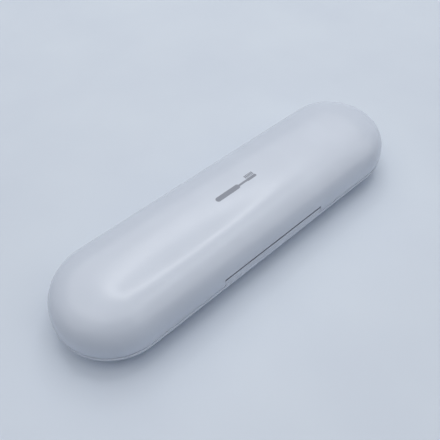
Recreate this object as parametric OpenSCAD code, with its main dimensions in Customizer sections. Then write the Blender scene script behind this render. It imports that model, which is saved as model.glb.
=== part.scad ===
// Hard travel case for an electric toothbrush: a long white capsule that opens like a clamshell.
// X runs along the case, the hinge is on the -Y side, +Z is up and the case stands on z = 0.

/* [Case] */
// Room past each end of the handle's trough
end_room = 25.3; // [23:0.1:32]
// Room on each side of the trough and the wells
side_room = 8.9; // [8.7:0.1:11.5]
// Gap between the handle's trough and the floor under it
floor_gap = 0.5; // [0.4:0.05:1]
// Gap between the handle's trough and the lid's crown
roof_gap = 0.7; // [0.6:0.05:3]
// Height of the parting plane above the table
base_h = 13; // [13:0.2:15]
// Wall of both outer shells
shell_t = 2; // [1.8:0.1:2.1]
// How square the lid's cross-section is, 2 is an ellipse
lid_power = 2.8; // [2.6:0.1:3.4]
// How square the base's cross-section is
base_power = 2.15; // [2.1:0.05:2.6]
// Depth that is cut flat off the rounded underside
foot_cut = 0.5; // [0.3:0.1:0.9]
// Seam between lid and base
seam_gap = 0.4; // [0.3:0.05:0.6]
// Radius on the outer edges along the seam
edge_r = 0.5; // [0.4:0.05:0.7]
// Depth of the thumb scoop in the lid's front edge
scoop_depth = 1.2; // [0.8:0.1:1.4]
// Radius of the thumb scoop seen from the front
scoop_r = 90; // [60:5:120]

/* [Toothbrush] */
// Diameter of the handle that the case holds
handle_d = 28.5; // [26:0.25:32]
// Length of the handle
handle_l = 190; // [170:1:215]
// Diameter of a spare brush head at its collar
head_d = 16; // [14:0.25:16.5]
// Length of a spare brush head
head_l = 76; // [70:1:77]
// Diameter of a brush head's neck
neck_d = 7; // [6:0.25:8]

/* [Tray and liner] */
// Wall of the troughs and wells
liner_t = 1.2; // [1:0.1:1.3]
// Thickness of the flat deck round the troughs
deck_t = 1.4; // [1.2:0.1:1.6]
// Gap between the deck and the shell round it
liner_gap = 0.3; // [0.2:0.05:0.5]
// Room round the handle in its trough
trough_gap = 0.75; // [0.6:0.05:0.9]
// Room round a brush head in its well
well_gap = 0.6; // [0.5:0.05:0.8]
// Room past each end of the handle and of a brush head
end_gap = 1; // [0.5:0.25:2]
// Land between the handle's trough and the wells
lane_land = 3; // [2.5:0.25:3.5]
// Shift of trough and wells towards the front
lane_shift = 1.1; // [0.5:0.1:1.6]
// Land between the two wells
well_land = 12; // [8:1:14]
// Height of the brush heads' axis above the parting plane
head_axis_up = 1.2; // [0.5:0.1:1.8]

/* [Soft parts] */
// Thickness of the soft pads in the trough
pad_t = 1; // [0.8:0.1:1.1]
// Width of a pad along the case
pad_w = 16; // [10:1:24]
// Distance of a pad from the middle of the case
pad_x = 60; // [40:1:64]
// Gap between the handle and a pad
pad_fit = 0.1; // [0.05:0.05:0.2]
// Drop of a pad's edge from the deck
pad_drop = 1.2; // [0.8:0.2:2]
// Thickness of a head clip along the case
clip_t = 4; // [3:0.5:6]
// Distance of a head clip from the inner end of its well
clip_in = 26; // [18:1:40]
// Height of a head clip above the parting plane
clip_up = 2.6; // [2:0.2:3.2]
// Gap between a head clip and the well in the lid
clip_gap = 0.3; // [0.3:0.05:0.5]

/* [Hinge] */
// Length of the notch in the lid for the hinge
notch_l = 78.4; // [70:0.2:84]
// Radius of the hinge barrel
barrel_r = 2.2; // [2.1:0.05:2.3]
// Radius of the hinge pin
pin_r = 0.6; // [0.5:0.05:0.65]
// Running clearance between the pin and the lid's eyes
pin_fit = 0.05; // [0.02:0.01:0.08]
// Clearance between the pin and the barrel that grips it
pin_grip = 0.01; // [0.005:0.005:0.02]
// Depth of the hinge axis behind the outer surface
axis_in = 1.95; // [1.9:0.05:2.1]
// Height of the hinge axis above the parting plane
axis_up = 4.4; // [4.2:0.1:4.8]
// Gap between the barrel and the lid's edge round it
notch_gap = 0.5; // [0.4:0.05:0.6]
// Depth of the barrel's flat outer face behind the outer surface
face_in = 0.25; // [0.2:0.05:0.35]
// Thickness of the wall that carries the barrel
riser_t = 2.4; // [2:0.1:2.8]
// Radius of the lid's eyes
eye_r = 1.15; // [1.05:0.05:1.2]
// Length of each eye on the lid
eye_l = 4.6; // [4:0.1:6]
// Gap between an eye and the pocket in the lid's wall round it
eye_fit = 0.1; // [0.05:0.05:0.15]
// Gap between the barrel and each end of the notch
eye_gap = 0.3; // [0.2:0.05:0.4]
// Thickness of the hinge's screwed plates
plate_t = 1.5; // [1.2:0.1:1.6]
// Height of the leaf's plate
leaf_h = 4.6; // [4.4:0.1:4.8]
// Height of a bracket's plate
bracket_h = 8.4; // [7.8:0.1:8.8]
// Width of a bracket's plate along the case
bracket_w = 13.7; // [13:0.1:16]
// Drop of a bracket's lower edge below the hinge axis
bracket_drop = 3.8; // [3.2:0.1:4]
// Thickness of the leaf's shelf, which is let into the base's rim
shelf_t = 1; // [0.8:0.1:1.2]
// Thickness of the base's rim in front of the shelf
lip_t = 1.1; // [0.9:0.05:1.3]
// Distance of the leaf's outermost screws from the barrel's ends
leaf_screw_in = 7; // [5:0.5:10]
// Distance of a bracket's screws from its upper edge
bracket_screw_in = 1.8; // [1.6:0.1:2]
// Distance of a bracket's outer screw from the end of its plate
bracket_screw_end = 3; // [2.4:0.1:3.4]
// Depth of the seat for the leaf's plate behind the outer surface
leaf_seat = 4; // [3.9:0.1:4.2]
// Depth of the seat for a bracket's plate behind the outer surface
bracket_seat = 3.2; // [3.1:0.1:3.4]

/* [Closure] */
// Diameter of a closing magnet
magnet_d = 8; // [6:0.5:9]
// Thickness of a closing magnet
magnet_h = 2; // [1.5:0.1:2.4]
// Wall round a magnet
magnet_wall = 1; // [0.8:0.1:1.4]
// Gap between a magnet and its pocket's wall
magnet_fit = 0.05; // [0.02:0.01:0.1]
// Depth of a magnet's pocket in the deck
magnet_sink = 0.6; // [0.3:0.05:0.8]
// Gap between the end of a well and the wall round a magnet
magnet_land = 1.8; // [1:0.1:3]
// Shift of a magnet from the axis of its well towards the middle
magnet_shift = 0.6; // [0:0.1:1.5]

/* [Fasteners] */
// Shank radius of the screws
screw_r = 0.9; // [0.8:0.05:1]
// Head radius of the deck screws
screw_head_r = 1.7; // [1.5:0.1:1.8]
// Head height of the screws
screw_head_h = 0.9; // [0.7:0.1:1]
// Length of the deck screws under the head
screw_l = 4.8; // [4:0.2:5.2]
// Head radius of the hinge screws
hinge_head_r = 1.4; // [1.2:0.1:1.4]
// Length of the hinge screws under the head
hinge_screw_l = 3.4; // [3:0.1:3.6]
// Gap between a thread and its pilot hole
thread_gap = 0.02; // [0.01:0.01:0.05]
// Gap between a shank and the hole it passes through
shank_gap = 0.2; // [0.1:0.05:0.3]
// Radius of the posts under the deck screws
post_r = 2.6; // [2.5:0.1:2.8]
// Depth of the cup that a deck screw sits in
cup_h = 3; // [2.6:0.1:3.2]
// Plastic under the head of a deck screw
seat_t = 1.8; // [1.4:0.1:2]
// Depth of a pilot hole past the tip of its screw
pilot_spare = 0.4; // [0.2:0.1:0.5]
// Gap between the end of the handle's trough and a back post
post_gap = 3.2; // [2:0.1:4]
// Distance of the front posts past the back ones along the case
post_step = 4; // [3:0.5:6]
// Distance of a back post behind the handle's axis
post_behind = 3; // [0:0.5:5]
// Distance of a front post in front of the handle's axis
post_before = 17; // [15:0.5:18]

/* [Hidden] */
$fn = 64;

// Steps of a shell's outline from seam to crown, and of the rounded seam edge
outline_steps = 26;
edge_steps = 4;
// Points of an outline this close to its ends are left out
near = 0.02;
// Far more than any cut needs
reach = 400;

seam_lo = base_h - seam_gap / 2;
seam_hi = base_h + seam_gap / 2;

// Decks of the tray and of the liner lie level with the seam
tray_deck_z = seam_lo - deck_t;
liner_deck_z = seam_hi + deck_t;
tray_cup_z = seam_lo - cup_h;
liner_cup_z = seam_hi + cup_h;

trough_r = handle_d / 2 + trough_gap;
trough_half = handle_l / 2 + end_gap;
well_r = head_d / 2 + well_gap;
well_half = head_l / 2 + end_gap;
lanes_w = 2 * trough_r + lane_land + 2 * well_r;
handle_y = trough_r - lanes_w / 2 + lane_shift;
handle_z = shell_t + floor_gap + liner_t + trough_r;
head_y = lanes_w / 2 - well_r + lane_shift;
head_x = well_land / 2 + well_half;
head_z = base_h + head_axis_up;

// The case is built round what it holds: its length, its half-width and the height of its lid
case_l = 2 * (trough_half + liner_t + end_room);
half_w = lanes_w / 2 + side_room;
straight_l = case_l - 2 * half_w;
lid_h = handle_z + trough_r + liner_t + roof_gap + shell_t - base_h;

// Screw posts stand just past the trough, and magnets just past the wells
post_x = trough_half + liner_t + post_gap + post_r;
post_back = [post_x, handle_y - post_behind];
post_front = [post_x + post_step, handle_y + post_before];
magnet_r = magnet_d / 2;
magnet_boss_r = magnet_r + magnet_wall;
magnet_x = head_x + well_half + liner_t + magnet_land + magnet_boss_r;
magnet_y = head_y - magnet_shift;
tray_magnet_z = tray_deck_z + magnet_sink - magnet_h;
liner_magnet_z = liner_deck_z - magnet_sink;
seat_depth = cup_h - seat_t;

axis_y = -half_w + axis_in;
axis_z = base_h + axis_up;
eye_in = notch_l / 2;
eye_out = eye_in + eye_l;
barrel_half = notch_l / 2 - eye_gap;
barrel_face = -half_w + face_in;
leaf_face = -half_w + leaf_seat;
bracket_face = -half_w + bracket_seat;
shelf_z = base_h - shelf_t;
shelf_y = -half_w + lip_t;
leaf_lo = base_h - leaf_h;
leaf_screw_z = leaf_lo + hinge_head_r;
leaf_screw_gap = 2 * (barrel_half - leaf_screw_in) / 3;
bracket_lo = axis_z - bracket_drop;
bracket_hi = bracket_lo + bracket_h;
bracket_screw_z = bracket_hi - bracket_screw_in;
bracket_screw_x = [eye_in + eye_l / 2, eye_in + bracket_w - bracket_screw_end];

white = [0.86, 0.88, 0.91];
grey = [0.62, 0.64, 0.67];
soft = [0.45, 0.47, 0.5];
steel = [0.75, 0.76, 0.78];

// Half-width of a superellipse outline at height z, for half-width a, height h and power p
function width_at(z, a, h, p) = a * pow(1 - pow(z / h, p), 1 / p);

// Outline from lo up to hi and in to the middle, as [radius, height]
function outline(a, h, p, lo, hi) = concat(
    [[width_at(lo, a, h, p), lo]],
    [for (i = [1 : outline_steps - 1])
        let (t = 90 * i / outline_steps, z = h * pow(sin(t), 2 / p))
        if (z > lo + near && z < hi - near) [a * pow(cos(t), 2 / p), z]],
    hi < h ? [[width_at(hi, a, h, p), hi]] : [],
    [[0, hi]]);

// Rounded edge that starts the outline on the seam side
function rounded_edge(r, lo) = [for (i = [0 : edge_steps - 1])
    let (t = 90 * i / edge_steps) [r - edge_r + edge_r * sin(t), lo + edge_r - edge_r * cos(t)]];

function outer_skin(a, h, p, lo, hi) =
    concat(rounded_edge(width_at(lo + edge_r, a, h, p), lo), outline(a, h, p, lo + edge_r, hi));

function backwards(points) = [for (i = [len(points) - 1 : -1 : 0]) points[i]];
function mirrored(points) = [for (i = [len(points) - 2 : -1 : 0]) [-points[i][0], points[i][1]]];
function raised(points, z) = [for (p = points) [p[0], z + p[1]]];
function lowered(points, z) = [for (p = points) [p[0], z - p[1]]];

// Heights are measured from the parting plane, upwards in the lid and downwards in the base
lid_skin = raised(outer_skin(half_w, lid_h, lid_power, seam_gap / 2, lid_h), base_h);
lid_inside = raised(outline(half_w - shell_t, lid_h - shell_t, lid_power, seam_gap / 2,
                            lid_h - shell_t), base_h);
lid_middle = raised(outline(half_w - shell_t / 2, lid_h - shell_t / 2, lid_power, seam_gap / 2,
                            lid_h - shell_t / 2), base_h);
base_deep = base_h + foot_cut;
base_skin = lowered(outer_skin(half_w, base_deep, base_power, seam_gap / 2, base_h), base_h);
base_inside = lowered(outline(half_w - shell_t, base_deep - shell_t, base_power, seam_gap / 2,
                              base_h - shell_t), base_h);
base_middle = lowered(outline(half_w - shell_t / 2, base_deep - shell_t / 2, base_power, seam_gap / 2,
                              base_h - shell_t / 2), base_h);
deck_r = min(width_at(seam_gap / 2 + deck_t, half_w - shell_t, base_deep - shell_t, base_power),
             width_at(seam_gap / 2 + deck_t, half_w - shell_t, lid_h - shell_t, lid_power)) - liner_gap;

// A capsule: a straight run of the whole section and half a turn of the half section at each end
module capsule(whole, half) {
    rotate([90, 0, 90])
        linear_extrude(height = straight_l, center = true)
            polygon(whole);
    for (s = [-1, 1])
        translate([s * straight_l / 2, 0, 0])
            rotate([0, 0, -90 * s])
                rotate_extrude(angle = 180)
                    polygon(half);
}

module solid_capsule(skin) {
    capsule(concat(skin, mirrored(skin)), concat(skin, [[0, skin[0][1]]]));
}

module shell_capsule(skin, inside) {
    capsule(concat(skin, mirrored(skin), backwards(mirrored(inside)), backwards(inside)),
            concat(skin, backwards(inside)));
}

// Flat deck with round ends
module deck(z) {
    translate([0, 0, z])
        linear_extrude(height = deck_t) {
            square([straight_l, 2 * deck_r], center = true);
            for (s = [-1, 1])
                translate([s * straight_l / 2, 0])
                    circle(r = deck_r, $fn = 96);
        }
}

// Round-ended rod along X, the shape of a trough or a well
module pill(half, r) {
    rotate([0, 90, 0])
        rotate_extrude()
            difference() {
                union() {
                    translate([0, -(half - r)])
                        square([r, 2 * (half - r)]);
                    for (s = [-1, 1])
                        translate([0, s * (half - r)])
                            circle(r = r);
                }
                translate([-2 * r, -half - 1])
                    square([2 * r, 2 * half + 2]);
            }
}

// The handle's trough and both wells, grown by a wall
module hollows(wall) {
    translate([0, handle_y, handle_z])
        pill(trough_half + wall, trough_r + wall);
    for (s = [-1, 1])
        translate([s * head_x, head_y, head_z])
            pill(well_half + wall, well_r + wall);
}

module at_posts(z) {
    for (s = [-1, 1], p = [post_back, post_front])
        translate([s * p[0], p[1], z])
            children();
}

module at_magnets(z) {
    for (s = [-1, 1])
        translate([s * magnet_x, magnet_y, z])
            children();
}

// Everything between two heights
module slab(lo, hi) {
    translate([-reach / 2, -reach / 2, lo])
        cube([reach, reach, hi - lo]);
}

// Box from its low to its high corner
module block(lo, hi) {
    translate(lo)
        cube(hi - lo);
}

// Screw with its head above z = 0 and its shank below
module screw(head_r, length) {
    slot_w = head_r / 3;
    difference() {
        union() {
            cylinder(r = head_r, h = screw_head_h);
            translate([0, 0, -length])
                cylinder(r = screw_r, h = length + screw_head_h / 2);
        }
        for (a = [0, 90])
            rotate([0, 0, a])
                translate([-head_r * 0.6, -slot_w / 2, screw_head_h / 2])
                    cube([head_r * 1.2, slot_w, screw_head_h]);
    }
}

// Rod along the hinge axis, from one place along the case to another
module hinge_rod(r, from, to) {
    translate([from, axis_y, axis_z])
        rotate([0, 90, 0])
            cylinder(r = r, h = to - from);
}

module at_leaf_screws(y) {
    for (i = [-1.5 : 1 : 1.5])
        translate([i * leaf_screw_gap, y, leaf_screw_z])
            rotate([-90, 0, 0])
                children();
}

module at_bracket_screws(y) {
    for (s = [-1, 1], x = bracket_screw_x)
        translate([s * x, y, bracket_screw_z])
            rotate([-90, 0, 0])
                children();
}

// Pad under or over the handle: a band of a ring between two heights
module pad(x, lo, hi) {
    pad_in = handle_d / 2 + pad_fit;
    intersection() {
        translate([x - pad_w / 2, handle_y, handle_z])
            rotate([0, 90, 0])
                difference() {
                    cylinder(r = pad_in + pad_t, h = pad_w);
                    translate([0, 0, -1])
                        cylinder(r = pad_in, h = pad_w + 2);
                }
        slab(lo, hi);
    }
}

// Shallow seats that the pads lie in
module pad_seats() {
    for (s = [-1, 1])
        translate([s * pad_x - pad_w / 2, handle_y, handle_z])
            rotate([0, 90, 0])
                cylinder(r = handle_d / 2 + pad_fit + pad_t, h = pad_w);
}

module base_shell() {
    color(white)
        difference() {
            union() {
                shell_capsule(base_skin, base_inside);
                intersection() {
                    union() {
                        at_posts(0)
                            cylinder(r = post_r, h = tray_cup_z);
                        block([-barrel_half, -half_w, leaf_lo], [barrel_half, leaf_face, shelf_z]);
                    }
                    solid_capsule(base_middle);
                }
            }
            at_posts(tray_cup_z + seat_t - screw_l - pilot_spare)
                cylinder(r = screw_r + thread_gap, h = screw_l);
            block([-barrel_half - eye_gap, leaf_face, leaf_lo - eye_gap],
                  [barrel_half + eye_gap, leaf_face + 2 * plate_t, base_h]);
            block([-barrel_half - eye_gap, shelf_y - liner_gap / 2, shelf_z],
                  [barrel_half + eye_gap, leaf_face + plate_t, base_h]);
            at_leaf_screws(leaf_face + plate_t - hinge_screw_l - pilot_spare)
                cylinder(r = screw_r + thread_gap, h = hinge_screw_l);
        }
}

module base_tray() {
    color(grey)
        difference() {
            union() {
                deck(tray_deck_z);
                intersection() {
                    hollows(liner_t);
                    slab(0, seam_lo);
                }
                at_posts(tray_cup_z)
                    cylinder(r = post_r, h = cup_h);
                at_magnets(tray_magnet_z)
                    cylinder(r = magnet_boss_r, h = magnet_h);
            }
            at_magnets(tray_magnet_z - 1)
                cylinder(r = magnet_r + magnet_fit, h = magnet_h + 1);
            hollows(0);
            pad_seats();
            at_posts(tray_cup_z - 1)
                cylinder(r = screw_r + shank_gap, h = cup_h + 2);
            at_posts(seam_lo - seat_depth)
                cylinder(r = screw_head_r + shank_gap, h = cup_h);
            block([-barrel_half - 2 * eye_gap, -half_w, 0],
                  [barrel_half + 2 * eye_gap, leaf_face + plate_t + shank_gap, base_h]);
        }
}

module tray_screws() {
    color(steel)
        at_posts(seam_lo - seat_depth)
            screw(screw_head_r, screw_l);
}

module handle_pad_left() {
    color(soft)
        pad(-pad_x, 0, seam_lo - pad_drop);
}

module handle_pad_right() {
    color(soft)
        pad(pad_x, 0, seam_lo - pad_drop);
}

// Upright disc in a well with a mouth for the neck of a brush head
module head_clip(side) {
    clip_r = well_r - clip_gap;
    neck_r = neck_d / 2;
    color(soft)
        translate([side * (well_land / 2 + clip_in), head_y, head_z])
            rotate([0, 90, 0])
                difference() {
                    intersection() {
                        union() {
                            cylinder(r = clip_r, h = clip_t, center = true);
                            intersection() {
                                cylinder(r = well_r, h = clip_t, center = true);
                                block([seam_gap + head_axis_up, -reach, -reach], [reach, reach, reach]);
                            }
                        }
                        block([head_axis_up - clip_up, -reach, -reach], [reach, reach, reach]);
                    }
                    cylinder(r = neck_r, h = 2 * clip_t, center = true);
                    block([-reach, -neck_r * 0.8, -clip_t], [0, neck_r * 0.8, clip_t]);
                }
}

module head_clip_left() {
    head_clip(-1);
}

module head_clip_right() {
    head_clip(1);
}

module base_magnets() {
    color(steel)
        at_magnets(tray_magnet_z)
            cylinder(r = magnet_r, h = magnet_h);
}

module hinge_leaf() {
    color(white)
        difference() {
            union() {
                intersection() {
                    hinge_rod(barrel_r, -barrel_half, barrel_half);
                    block([-reach, barrel_face, 0], [reach, reach, reach]);
                }
                block([-barrel_half, barrel_face, seam_lo], [barrel_half, barrel_face + riser_t, axis_z]);
                block([-barrel_half, shelf_y, shelf_z], [barrel_half, leaf_face + plate_t, base_h]);
                block([-barrel_half, leaf_face, leaf_lo], [barrel_half, leaf_face + plate_t, base_h]);
            }
            hinge_rod(pin_r + pin_grip, -eye_in, eye_in);
            at_leaf_screws(leaf_face - 1)
                cylinder(r = screw_r + shank_gap / 2, h = plate_t + 2);
        }
}

module leaf_screws() {
    color(steel)
        at_leaf_screws(leaf_face + plate_t)
            screw(hinge_head_r, hinge_screw_l);
}

module hinge_pin() {
    color(steel)
        hinge_rod(pin_r, -eye_out, eye_out);
}

// Opening in the lid's lower edge for the hinge, hollowed round the barrel
module notch() {
    block([-notch_l / 2, -reach, 0], [notch_l / 2, bracket_face, axis_z]);
    hinge_rod(barrel_r + notch_gap, -notch_l / 2, notch_l / 2);
}

// Pocket in the lid's wall for an eye, open towards the inside
module eye_pocket() {
    hinge_rod(eye_r + eye_fit, eye_in - eye_fit, eye_out + eye_fit);
    block([eye_in - eye_fit, axis_y, axis_z - eye_r - eye_fit],
          [eye_out + eye_fit, bracket_face + 1, axis_z + eye_r + eye_fit]);
}

module lid_shell() {
    color(white)
        difference() {
            union() {
                shell_capsule(lid_skin, lid_inside);
                intersection() {
                    union() {
                        at_posts(liner_cup_z)
                            cylinder(r = post_r, h = lid_h);
                        for (s = [-1, 1])
                            translate([s * (eye_in + bracket_w / 2), 0, 0])
                                block([-bracket_w / 2, -half_w, bracket_lo],
                                      [bracket_w / 2, bracket_face, bracket_hi]);
                    }
                    solid_capsule(lid_middle);
                }
            }
            notch();
            for (s = [0, 1])
                mirror([s, 0, 0])
                    eye_pocket();
            at_posts(liner_cup_z - 1)
                cylinder(r = screw_r + thread_gap, h = screw_l - seat_t + pilot_spare + 1);
            at_bracket_screws(bracket_face + plate_t - hinge_screw_l - pilot_spare)
                cylinder(r = screw_r + thread_gap, h = hinge_screw_l);
            translate([0, half_w - scoop_depth, seam_hi - scoop_r + scoop_depth])
                rotate([-90, 0, 0])
                    cylinder(r = scoop_r, h = half_w, $fn = 256);
        }
}

module lid_liner() {
    color(grey)
        difference() {
            union() {
                deck(seam_hi);
                intersection() {
                    hollows(liner_t);
                    slab(seam_hi, base_h + lid_h);
                }
                at_posts(seam_hi)
                    cylinder(r = post_r, h = cup_h);
                at_magnets(liner_magnet_z)
                    cylinder(r = magnet_boss_r, h = magnet_h);
            }
            at_magnets(liner_magnet_z)
                cylinder(r = magnet_r + magnet_fit, h = magnet_h + 1);
            hollows(0);
            pad_seats();
            at_posts(0)
                cylinder(r = screw_r + shank_gap, h = base_h + lid_h);
            at_posts(0)
                cylinder(r = screw_head_r + shank_gap, h = seam_hi + seat_depth);
            block([-eye_in - bracket_w - 2 * eye_gap, -half_w, 0],
                  [eye_in + bracket_w + 2 * eye_gap, bracket_face + plate_t + 2 * shank_gap, reach]);
        }
}

module liner_screws() {
    color(steel)
        at_posts(seam_hi + seat_depth)
            rotate([180, 0, 0])
                screw(screw_head_r, screw_l);
}

module lid_pad_left() {
    color(soft)
        pad(-pad_x, 2 * handle_z - seam_lo + pad_drop, reach);
}

module lid_pad_right() {
    color(soft)
        pad(pad_x, 2 * handle_z - seam_lo + pad_drop, reach);
}

module lid_magnets() {
    color(steel)
        at_magnets(liner_magnet_z)
            cylinder(r = magnet_r, h = magnet_h);
}

module hinge_bracket(side) {
    plate_in = bracket_face + plate_t;
    color(white)
        mirror([side < 0 ? 1 : 0, 0, 0])
            difference() {
                union() {
                    hinge_rod(eye_r, eye_in, eye_out);
                    block([eye_in, axis_y, axis_z - eye_r], [eye_out, plate_in, axis_z + eye_r]);
                    block([eye_in, bracket_face, bracket_lo], [eye_in + bracket_w, plate_in, bracket_hi]);
                }
                hinge_rod(pin_r + pin_fit, eye_in - 1, eye_out + 1);
                at_bracket_screws(bracket_face - 1)
                    cylinder(r = screw_r + shank_gap / 2, h = plate_t + 2);
            }
}

module hinge_bracket_left() {
    hinge_bracket(-1);
}

module hinge_bracket_right() {
    hinge_bracket(1);
}

module bracket_screws() {
    color(steel)
        at_bracket_screws(bracket_face + plate_t)
            screw(hinge_head_r, hinge_screw_l);
}

base_shell();
base_tray();
tray_screws();
handle_pad_left();
handle_pad_right();
head_clip_left();
head_clip_right();
base_magnets();
hinge_leaf();
leaf_screws();
hinge_pin();
lid_shell();
lid_liner();
liner_screws();
lid_pad_left();
lid_pad_right();
lid_magnets();
hinge_bracket_left();
hinge_bracket_right();
bracket_screws();
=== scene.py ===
# %% [markdown]
# # A travel case for an electric toothbrush
#
# The case is a long white capsule of moulded plastic that opens like a clamshell. The exact
# parts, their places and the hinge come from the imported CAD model, which is called the frame.
# This script dresses that frame for a photograph: it loads the parts, puts a finer piece in the
# place of each one, gives every surface its finish and lights the scene.
#
# The CAD solids have flat strips where the real case is smooth and sharp edges where it is
# rounded, so each of them is replaced. The new pieces are worked out from the boxes of the CAD
# parts, so they fit without any trial.

import math

import bmesh
import bpy
from mathutils import Matrix, Vector


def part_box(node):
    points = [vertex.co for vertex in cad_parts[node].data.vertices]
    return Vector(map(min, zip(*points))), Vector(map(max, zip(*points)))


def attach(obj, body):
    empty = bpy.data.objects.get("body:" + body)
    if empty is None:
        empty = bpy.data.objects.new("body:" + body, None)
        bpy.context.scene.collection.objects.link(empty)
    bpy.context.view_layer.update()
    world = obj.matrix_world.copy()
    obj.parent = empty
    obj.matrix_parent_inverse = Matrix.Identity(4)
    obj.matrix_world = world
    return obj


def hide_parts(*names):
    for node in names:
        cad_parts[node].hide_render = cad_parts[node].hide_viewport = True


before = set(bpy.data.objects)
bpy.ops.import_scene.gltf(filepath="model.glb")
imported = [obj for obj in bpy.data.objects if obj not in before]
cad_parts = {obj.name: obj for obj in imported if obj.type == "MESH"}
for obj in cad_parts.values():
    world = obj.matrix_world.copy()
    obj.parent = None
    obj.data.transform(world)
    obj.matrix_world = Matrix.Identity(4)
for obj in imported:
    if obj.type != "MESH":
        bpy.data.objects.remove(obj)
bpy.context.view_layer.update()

# %% [markdown]
# ## Sizes
#
# Blender works in metres and a case is drawn in millimetres, so one constant turns one into the
# other. The outer sizes are read from the boxes of the two shells: a box's high corner gives the
# half-length, the half-width and the crown. The walls and the squareness of the two outlines
# can't be read from a box, so they are named here with the values of the CAD model.

# %% Read the main sizes from the frame
MM = 0.001
lid_low, lid_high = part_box("lid_shell")
base_low, base_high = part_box("base_shell")
half_width = lid_high.y
half_run = lid_high.x - half_width
crown = lid_high.z
lid_seam = lid_low.z
base_seam = base_high.z
parting = (lid_seam + base_seam) / 2
wall = 2 * MM
lid_height = crown - parting
lid_power = 2.8
# The curve of the base would end this far below the table; there it is cut flat
flat_cut = 0.5 * MM
base_depth = parting + flat_cut
base_power = 2.15
print("half-width %.1f mm, straight run %.1f mm, crown %.1f mm"
      % (half_width / MM, 2 * half_run / MM, crown / MM))

# %% [markdown]
# ## Camera
#
# The camera stands where the photographer stood. Its angles were found by fitting the outline
# of the case to the photograph: it looks down at about 50 degrees from the hinge side, turned 42
# degrees to the left, from 32 centimetres away. A camera looks along its own -Z axis, so it is
# built from three turns and then moved back along its own axis. Each turn is one matrix, which
# is easier to check than three angles of a rotated object.

# %% Set the camera
def set_camera(look_down, turn, roll, distance, aside, above, focal_share):
    data = bpy.data.cameras.new("camera")
    data.sensor_width = 36
    data.lens = focal_share * data.sensor_width
    data.clip_start = 0.01
    camera = bpy.data.objects.new("camera", data)
    bpy.context.collection.objects.link(camera)
    camera.matrix_world = (Matrix.Rotation(-turn, 4, "Z")
                           @ Matrix.Rotation(math.pi / 2 - look_down, 4, "X")
                           @ Matrix.Rotation(roll, 4, "Z")
                           @ Matrix.Translation((-aside, -above, distance)))
    bpy.context.scene.camera = camera
    return camera


camera = set_camera(look_down=math.radians(50.35), turn=math.radians(41.84), roll=math.radians(-0.53),
                    distance=317.4 * MM, aside=9.42 * MM, above=-5.13 * MM, focal_share=1.1427)
print("camera at", [round(c / MM) for c in camera.matrix_world.translation], "mm")

# %% [markdown]
# ## Colours and nodes
#
# A colour is picked from a picture as an sRGB hex value, but a shader wants linear light, so one
# function turns the first into the second. A second small function adds a node, sets its
# properties and fills its sockets. A socket gets a value, an output of another node, or the node
# itself, which stands for its first output, so a whole material reads from top to bottom. The
# same function serves Geometry Nodes.

# %% Colour and node helpers
def linear(hex_colour):
    channels = [int(hex_colour[i:i + 2], 16) / 255 for i in (1, 3, 5)]
    return tuple(c / 12.92 if c <= 0.04045 else ((c + 0.055) / 1.055) ** 2.4 for c in channels) + (1,)


def add_node(tree, kind, settings=None, stops=(), **sockets):
    """Sockets are given by name, with _ for a space, or by number, as in_0 and in_1.
    Stops are the places and colours of a colour ramp."""
    node = tree.nodes.new(kind)
    for name, value in (settings or {}).items():
        setattr(node, name, value)
    for i, (position, colour) in enumerate(stops):
        node.color_ramp.elements[i].position = position
        node.color_ramp.elements[i].color = linear(colour)
    for name, value in sockets.items():
        socket = node.inputs[int(name[3:]) if name.startswith("in_") else name.replace("_", " ")]
        if isinstance(value, bpy.types.Node):
            value = value.outputs[0]
        if isinstance(value, bpy.types.NodeSocket):
            tree.links.new(value, socket)
        else:
            socket.default_value = value
    return node


def per_mm(size):
    """Scale of a texture node whose features are this many millimetres wide."""
    return 1 / (size * MM)


print("white plastic in linear light:", [round(c, 3) for c in linear("#CFD7E5")[:3]])

# %% [markdown]
# ## Materials
#
# Every material starts with the coordinates that its patterns are drawn in, and ends in a
# Principled shader and an output. Object coordinates are used everywhere, because each piece
# sits at the origin with its place in its mesh, so a pattern stays put when the lid swings.

# %% Start of a material
def new_material(name):
    material = bpy.data.materials.new(name)
    material.use_nodes = True
    tree = material.node_tree
    tree.nodes.clear()
    return material, tree, add_node(tree, "ShaderNodeTexCoord").outputs["Object"]


# %% [markdown]
# ### Moulded plastic
#
# The shells are ABS, moulded in a tool whose surface was roughened by spark erosion. That gives
# the eye a soft satin: highlights are broad and without an edge, and the colour is even, with
# only the faintest clouding where the melt flowed. The grain of such a tool is 0.03 to 0.1 mm,
# finer than a pixel, so it is drawn coarser here. The same recipe serves the grey tray and the
# hinge with other colours, another gloss and another grain.

# %% Moulded plastic
def moulded_plastic(name, colour, clouded, roughness, grain, depth):
    """The grain's width and depth are in millimetres."""
    material, tree, place = new_material(name)
    # The clouds are about 22 mm wide
    clouds = add_node(tree, "ShaderNodeTexNoise", Vector=place, Scale=per_mm(22), Detail=2.0, Roughness=0.4)
    tone = add_node(tree, "ShaderNodeValToRGB", stops=[(0.35, clouded), (0.65, colour)], Fac=clouds)
    # The real grain is 0.03 to 0.1 mm wide; it is drawn wider so that a close view shows it
    texture = add_node(tree, "ShaderNodeTexNoise", Vector=place, Scale=per_mm(grain), Detail=3.0,
                       Roughness=0.6)
    gloss = add_node(tree, "ShaderNodeMapRange", Value=texture, From_Min=0.3, From_Max=0.7,
                     To_Min=roughness - 0.04, To_Max=roughness + 0.04)
    relief = add_node(tree, "ShaderNodeBump", Strength=0.35, Distance=depth * MM, Height=texture)
    shader = add_node(tree, "ShaderNodeBsdfPrincipled", Base_Color=tone, IOR=1.53, Roughness=gloss,
                      Normal=relief)
    add_node(tree, "ShaderNodeOutputMaterial", Surface=shader)
    return material


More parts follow.
